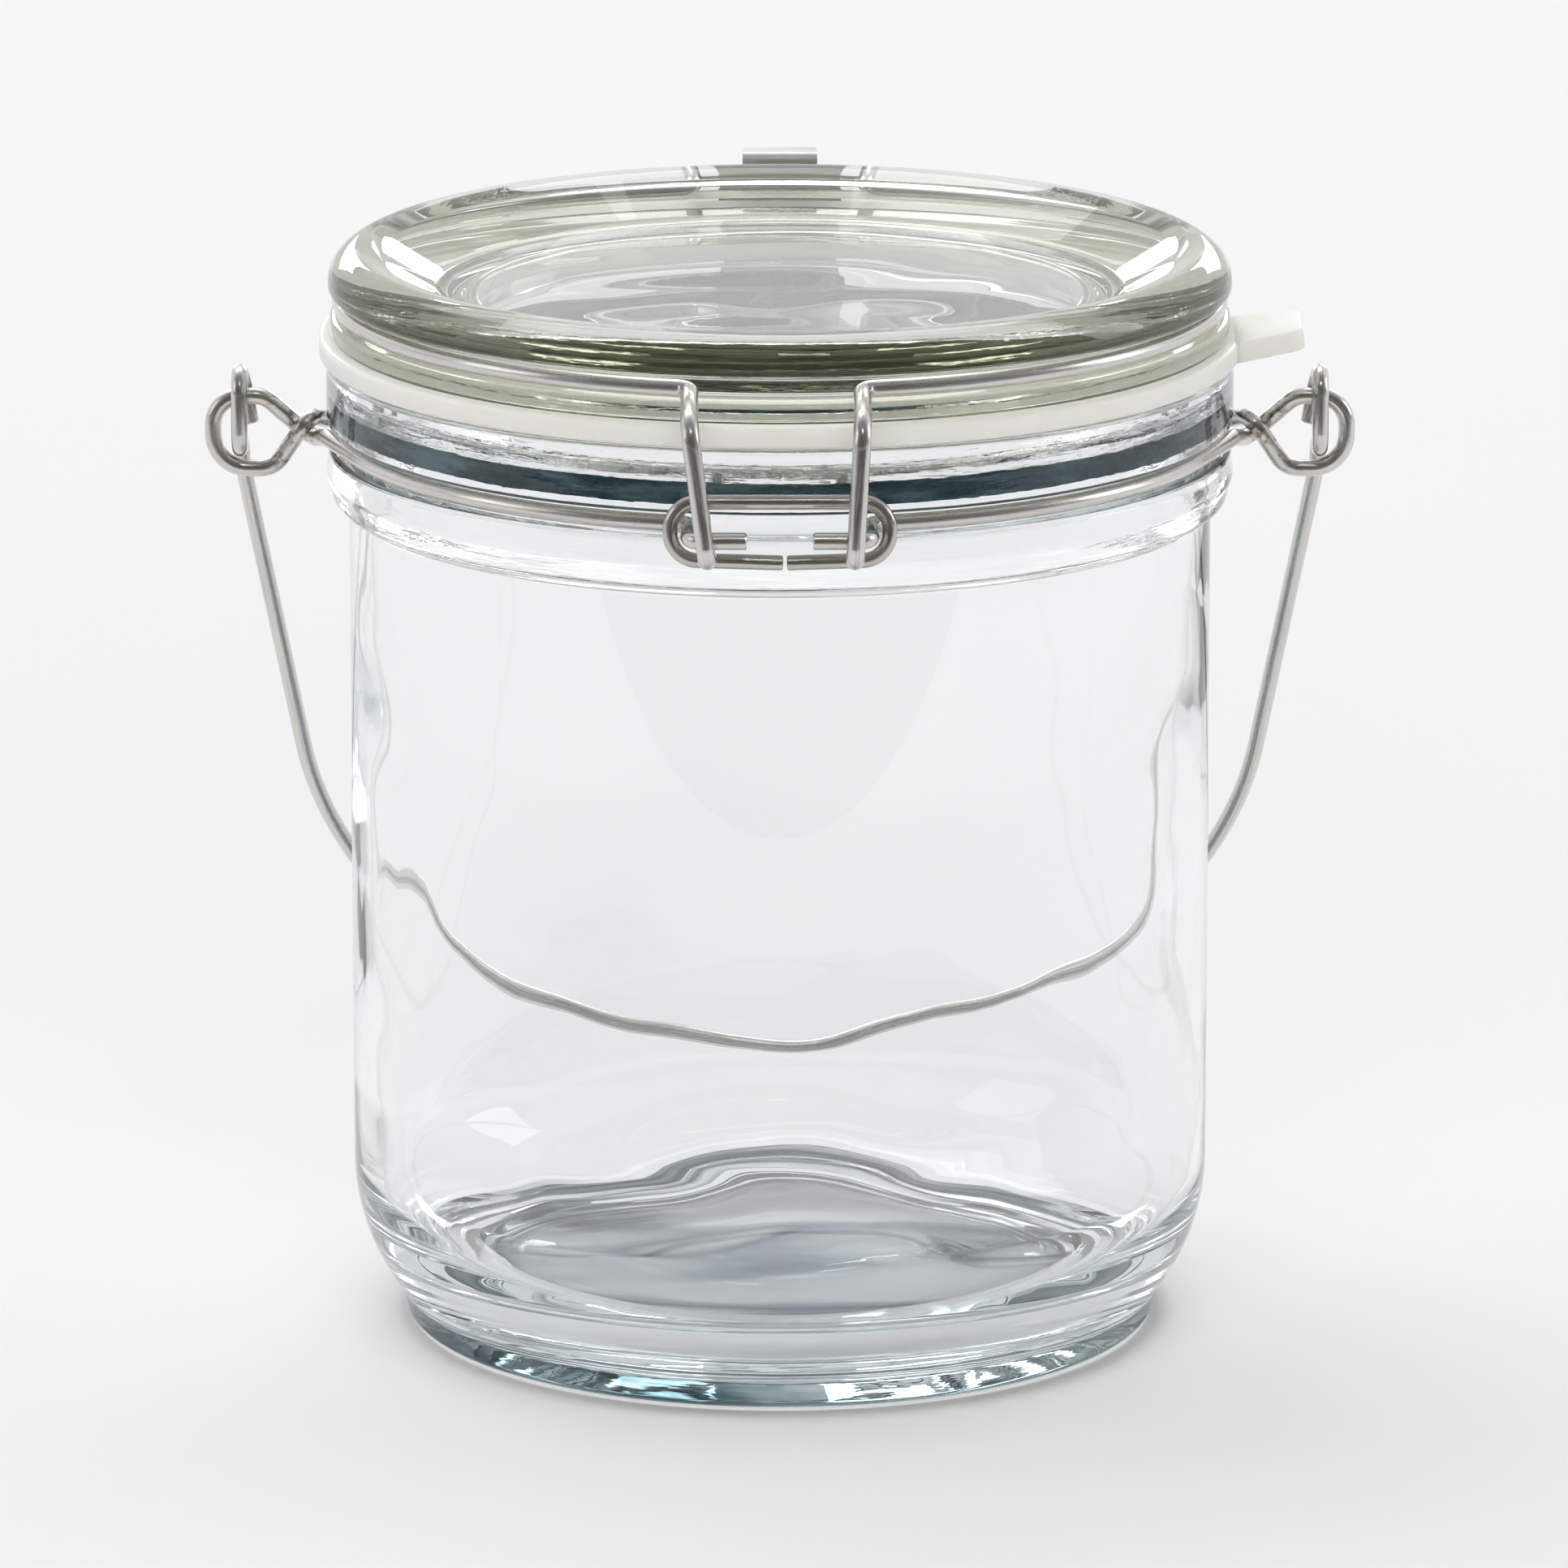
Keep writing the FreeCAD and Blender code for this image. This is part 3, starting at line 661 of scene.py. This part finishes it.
def neck_step_painted_shade():
    """The tooled step inside the neck: painted shade, a dark sea-green band in its colour that stands in
    for dark surroundings seen in the thick glass there.
    """
    mat, tree, shader = start_material("neck step painted shade")
    streaks = noise_tex(tree, scale=90, detail=5, stretch=(1, 1, 5))
    # painted shade: near-black to dark sea-green streaks
    tone = ramp(tree, streaks, [(0.3, (0.008, 0.022, 0.034)), (0.5, (0.03, 0.068, 0.086)),
                                (0.72, (0.13, 0.21, 0.24))])
    tree.links.new(tone, shader.inputs["Base Color"])
    rough = spread(tree, noise_tex(tree, scale=700, detail=4), 0.3, 0.7, 0.15, 0.4)
    tree.links.new(rough, shader.inputs["Roughness"])
    shader.inputs["Specular IOR Level"].default_value = 0.2
    bump(tree, noise_tex(tree, scale=1500, detail=3), 0.5, 0.0003, shader)
    return mat


def lid_glass():
    mat, tree, shader = clear_glass("lid glass", 0.0515, 0.0535, 75, 0.12)
    # painted shade: the rim turns near-black green where it is seen edge-on
    painted_edge_shade(tree, shader, (0.985, 0.99, 0.98), (0.1, 0.13, 0.11))
    let_lamps_through(tree, shader, (0.94, 0.95, 0.93))
    absorb(tree, (0.545, 0.56, 0.475), 38)
    return mat


def drawn_noise(tree, along, across, detail):
    """Noise drawn out along a wire, in the wire's own coordinates."""
    place_on = node(tree, "ShaderNodeAttribute", attribute_name="drawn")
    mapping = node(tree, "ShaderNodeMapping")
    mapping.inputs["Scale"].default_value = (along, across, across)
    tex = node(tree, "ShaderNodeTexNoise")
    tex.inputs["Scale"].default_value = 1
    tex.inputs["Detail"].default_value = detail
    tree.links.new(place_on.outputs["Vector"], mapping.inputs["Vector"])
    tree.links.new(mapping.outputs["Vector"], tex.inputs["Vector"])
    return tex.outputs["Fac"]


def stains(tree, tone):
    """Brown heat colour in spots where the neck wire is twisted."""
    coords = node(tree, "ShaderNodeTexCoord")
    split = node(tree, "ShaderNodeSeparateXYZ")
    tree.links.new(coords.outputs["Object"], split.inputs["Vector"])
    size = node(tree, "ShaderNodeMath", operation="ABSOLUTE")
    tree.links.new(split.outputs["X"], size.inputs[0])
    near = spread(tree, size.outputs[0], 0.0535, 0.0565, 0.0, 1.0)
    far = spread(tree, size.outputs[0], 0.0605, 0.0645, 1.0, 0.0)
    spots = spread(tree, noise_tex(tree, scale=1100, detail=4), 0.54, 0.66, 0.0, 0.75)
    mix = node(tree, "ShaderNodeMix", data_type="RGBA")
    mix.inputs["B"].default_value = (0.16, 0.1, 0.055, 1)
    tree.links.new(times(tree, times(tree, near, far), spots), mix.inputs["Factor"])
    tree.links.new(tone, mix.inputs["A"])
    return mix.outputs["Result"]


def wire_steel(name, colour, roughness, stained):
    """Drawn stainless wire: long fine drawing lines, a little dullness, small scuffs."""
    mat, tree, shader = start_material(name)
    shader.inputs["Metallic"].default_value = 1
    dark = tuple(c * 0.82 for c in colour)
    light = tuple(min(1, c * 1.1) for c in colour)
    streaks = drawn_noise(tree, 0.5, 5, 4)
    tone = ramp(tree, streaks, [(0.3, dark), (0.5, colour), (0.72, light)])
    if stained:
        tone = stains(tree, tone)
    tree.links.new(tone, shader.inputs["Base Color"])
    dull = drawn_noise(tree, 1.6, 3, 3)
    rough = spread(tree, dull, 0.3, 0.7, roughness * 0.7, roughness * 1.45)
    tree.links.new(rough, shader.inputs["Roughness"])
    bump(tree, drawn_noise(tree, 1.2, 11, 4), 0.35, 0.00004, shader)
    return mat


def sheet_steel():
    """Rolled sheet: bright, with a grain along its length and faint clouding."""
    mat, tree, shader = start_material("steel sheet")
    cloud = noise_tex(tree, scale=160, detail=3, stretch=(0.3, 1, 1))
    shader.inputs["Metallic"].default_value = 0.85
    tone = ramp(tree, cloud, [(0.3, (0.6, 0.6, 0.59)), (0.7, (0.74, 0.74, 0.73))])
    tree.links.new(tone, shader.inputs["Base Color"])
    rough = spread(tree, noise_tex(tree, scale=900, detail=3, stretch=(0.12, 1, 1)), 0.3, 0.7, 0.36, 0.55)
    tree.links.new(rough, shader.inputs["Roughness"])
    bump(tree, noise_tex(tree, scale=1500, detail=3, stretch=(0.08, 1, 1)), 0.2, 0.00004, shader)
    return mat


def silicone():
    mat, tree, shader = start_material("silicone")
    cloud = noise_tex(tree, scale=120, detail=3)
    tone = ramp(tree, cloud, [(0.25, (0.93, 0.915, 0.84)), (0.75, (0.97, 0.96, 0.9))])
    tree.links.new(tone, shader.inputs["Base Color"])
    shader.inputs["Subsurface Weight"].default_value = 0.6
    shader.inputs["Subsurface Radius"].default_value = (1, 0.97, 0.85)
    shader.inputs["Subsurface Scale"].default_value = 0.004
    shader.inputs["Transmission Weight"].default_value = 0.15
    shader.inputs["IOR"].default_value = 1.41
    fine = noise_tex(tree, scale=700, detail=4)
    rough = spread(tree, fine, 0.3, 0.7, 0.32, 0.5)
    tree.links.new(rough, shader.inputs["Roughness"])
    bump(tree, noise_tex(tree, scale=500, detail=4), 0.15, 0.0001, shader)
    return mat


def floor_paper():
    mat, tree, shader = start_material("pale floor")
    cloud = noise_tex(tree, scale=3, detail=2)
    tone = ramp(tree, cloud, [(0.3, (0.8, 0.795, 0.8)), (0.7, (0.81, 0.805, 0.81))])
    tree.links.new(tone, shader.inputs["Base Color"])
    # the far floor is lit like a studio sweep, so that it meets the white wall without a grey band
    coords = node(tree, "ShaderNodeTexCoord")
    split = node(tree, "ShaderNodeSeparateXYZ")
    tree.links.new(coords.outputs["Object"], split.inputs["Vector"])
    behind = spread(tree, split.outputs["Y"], -0.9, -0.2, 0.0, 1.0)
    far = spread(tree, from_axis(tree), 0.9, 2.6, 0.0, 0.3)
    shader.inputs["Emission Color"].default_value = (1.0, 1.0, 1.0, 1)
    tree.links.new(times(tree, behind, far), shader.inputs["Emission Strength"])
    shader.inputs["Roughness"].default_value = 0.9
    shader.inputs["Specular IOR Level"].default_value = 0.15
    return mat


# ---------------------------------------------------------------------------
# putting the object together
# ---------------------------------------------------------------------------

def place(obj, body, material, stands_for=None):
    obj.data.materials.clear()
    obj.data.materials.append(material)
    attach(obj, body)
    if stands_for:
        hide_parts(*stands_for)


def pick_glass(jar):
    """Inner floor, foot and neck step get colours that hold painted shade; the rest is clear."""
    for made in (base_glass_painted_swirls(), foot_glass_painted_streaks(), neck_step_painted_shade()):
        jar.data.materials.append(made)
    for face in jar.data.polygons:
        r, z = math.hypot(face.center.x, face.center.y) / MM, face.center.z / MM
        if r < BASE_OUT and BASE_LOW < z < BASE_HIGH:
            face.material_index = BASE_SLOT
        elif r > FOOT_NEAR and z < FOOT_HIGH:
            face.material_index = FOOT_SLOT
        elif STEP_NEAR < r < STEP_FAR and STEP_LOW < z < STEP_HIGH:
            face.material_index = STEP_SLOT


def dress():
    neck = wire_steel("neck wire steel", (0.66, 0.64, 0.61), 0.22, True)
    wire = wire_steel("steel wire", (0.66, 0.645, 0.62), 0.22, False)
    ring = wire_steel("clasp ring wire", (0.55, 0.53, 0.5), 0.2, False)
    sheet = sheet_steel()
    rubber = silicone()
    jar = make_jar()
    place(jar, "jar", jar_glass(), ["jar_body"])
    pick_glass(jar)
    place(make_neck_wire(), "jar", neck, ["neck_wire"])
    place(make_lid(), "lid_group", lid_glass(), ["lid"])
    place(make_gasket(), "lid_group", rubber, ["gasket"])
    place(make_tab(), "lid_group", rubber)
    place(make_lid_wire(), "lid_group", wire, ["lid_wire"])
    place(make_clasp_ring(), "clasp", ring, ["clasp_ring"])
    place(make_handle(), "bail", wire, ["handle"])
    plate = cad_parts["hinge_plate"]
    plate.data.materials.clear()
    plate.data.materials.append(sheet)
    soft_edge = plate.modifiers.new("edge", "BEVEL")
    soft_edge.width = 0.00012
    soft_edge.segments = 2
    soft_edge.limit_method = "ANGLE"


# ---------------------------------------------------------------------------
# studio
# ---------------------------------------------------------------------------

# each lamp: its place, what it points at, its size in metres, its power in watts and its colour
LAMPS = {
    "overhead": ((-0.2, 0.95, 1.4), (0, 0.2, 0.0), (1.2, 0.9), 5.5, (1.0, 0.99, 0.98)),
    "back left": ((-0.5, 1.9, 0.5), (0, 0, 0.13), (0.5, 0.36), 3, (1.0, 1.0, 1.0)),
    "back right": ((0.5, 1.9, 0.5), (0, 0, 0.13), (0.5, 0.36), 3, (1.0, 1.0, 1.0)),
    "left": ((-1.3, -0.3, 0.6), (0, 0, 0.1), (0.6, 0.7), 1.6, (1.0, 1.0, 1.0)),
    "right": ((1.2, 0.1, 0.55), (0, 0, 0.1), (0.4, 0.6), 2, (0.98, 0.99, 1.0)),
    "front": ((0.12, -0.9, 1.2), (0, 0, 0.1), (0.25, 0.16), 0.8, (1.0, 0.97, 0.92)),
}
FILL = ((0, -1.5, 0.8), (0, 0, 0.05), (1.4, 0.8), 10, (1.0, 0.98, 0.96))


def studio_floor():
    # the paper lies a hair under the foot, so that the two faces do not share one plane
    size, low = 6.0, -0.0003
    mesh = bpy.data.meshes.new("floor")
    corners = [(-size, -size, low), (size, -size, low), (size, size, low), (-size, size, low)]
    mesh.from_pydata(corners, [], [(0, 1, 2, 3)])
    obj = bpy.data.objects.new("floor", mesh)
    bpy.context.collection.objects.link(obj)
    mesh.materials.append(floor_paper())


def soft_light(name, at, target, size, power, colour):
    data = bpy.data.lights.new(name, "AREA")
    data.shape = "RECTANGLE"
    data.size, data.size_y = size
    data.energy = power
    data.color = colour
    obj = bpy.data.objects.new(name, data)
    obj.location = at
    obj.rotation_euler = (Vector(target) - Vector(at)).to_track_quat("-Z", "Y").to_euler()
    bpy.context.collection.objects.link(obj)
    return obj


def high_sun():
    """Even light from high behind on the left, too wide to draw a hard shadow, and with no glint."""
    data = bpy.data.lights.new("high", "SUN")
    data.energy = 0.7
    data.angle = math.radians(50)
    obj = bpy.data.objects.new("high", data)
    obj.rotation_euler = Vector((0.35, -0.3, -1)).to_track_quat("-Z", "Y").to_euler()
    obj.visible_glossy = False
    bpy.context.collection.objects.link(obj)


def dark_card():
    """Black card low in front of the set, seen only in reflections, as a studio uses for metal."""
    half, front, rear, height = 0.9, -1.7, -0.33, 0.002
    mesh = bpy.data.meshes.new("dark_card")
    corners = [(-half, front, height), (half, front, height), (half, rear, height), (-half, rear, height)]
    mesh.from_pydata(corners, [], [(0, 1, 2, 3)])
    obj = bpy.data.objects.new("dark_card", mesh)
    bpy.context.collection.objects.link(obj)
    mat, tree, shader = start_material("dark card")
    cloud = noise_tex(tree, scale=2, detail=2)
    tone = ramp(tree, cloud, [(0.3, (0.035, 0.035, 0.036)), (0.7, (0.05, 0.05, 0.05))])
    tree.links.new(tone, shader.inputs["Base Color"])
    mesh.materials.append(mat)
    obj.visible_camera = False
    obj.visible_diffuse = False
    obj.visible_transmission = False
    obj.visible_shadow = False


def sky():
    """White studio: bright behind, darker at the sides, a dim warm room in front."""
    world = bpy.data.worlds.new("studio")
    world.use_nodes = True
    tree = world.node_tree
    coords = node(tree, "ShaderNodeTexCoord")
    split = node(tree, "ShaderNodeSeparateXYZ")
    tree.links.new(coords.outputs["Generated"], split.inputs["Vector"])
    tone = ramp(tree, spread(tree, split.outputs["Y"], -1, 1, 0, 1),
                [(0.0, (0.13, 0.125, 0.12)), (0.4, (0.3, 0.3, 0.31)), (0.72, (0.96, 0.965, 0.98))])
    path = node(tree, "ShaderNodeLightPath")
    seen = node(tree, "ShaderNodeMix", data_type="RGBA")
    seen.inputs["B"].default_value = (0.96, 0.96, 0.97, 1)
    tree.links.new(path.outputs["Is Camera Ray"], seen.inputs["Factor"])
    tree.links.new(tone, seen.inputs["A"])
    tree.links.new(seen.outputs["Result"], tree.nodes["Background"].inputs["Color"])
    tree.nodes["Background"].inputs["Strength"].default_value = 0.9
    bpy.context.scene.world = world


def light_paths():
    """Glass this thick needs many reflections inside it before it stops looking black."""
    cycles = bpy.context.scene.cycles
    cycles.max_bounces = 36
    cycles.glossy_bounces = 32
    cycles.transmission_bounces = 24
    cycles.transparent_max_bounces = 24


def camera():
    # the focal length and the image's width, both in pixels
    focal, width = 15533, 1932
    data = bpy.data.cameras.new("camera")
    data.sensor_width = 36
    data.lens = data.sensor_width * focal / width
    data.clip_end = 50
    data.dof.use_dof = False
    obj = bpy.data.objects.new("camera", data)
    obj.location = (0, -1.5, 0.44)
    aim = Vector((0.0005, 0, 0.0661)) - Vector(obj.location)
    obj.rotation_euler = aim.to_track_quat("-Z", "Y").to_euler()
    bpy.context.collection.objects.link(obj)
    bpy.context.scene.camera = obj


dress()
studio_floor()
sky()
dark_card()
high_sun()
for lamp_name, lamp in LAMPS.items():
    soft_light(lamp_name, *lamp)
# the fill only lightens: it shows neither in the wires nor through the glass
fill = soft_light("fill", *FILL)
fill.visible_glossy = False
fill.visible_transmission = False
camera()
light_paths()
bpy.context.scene.view_settings.view_transform = "Standard"
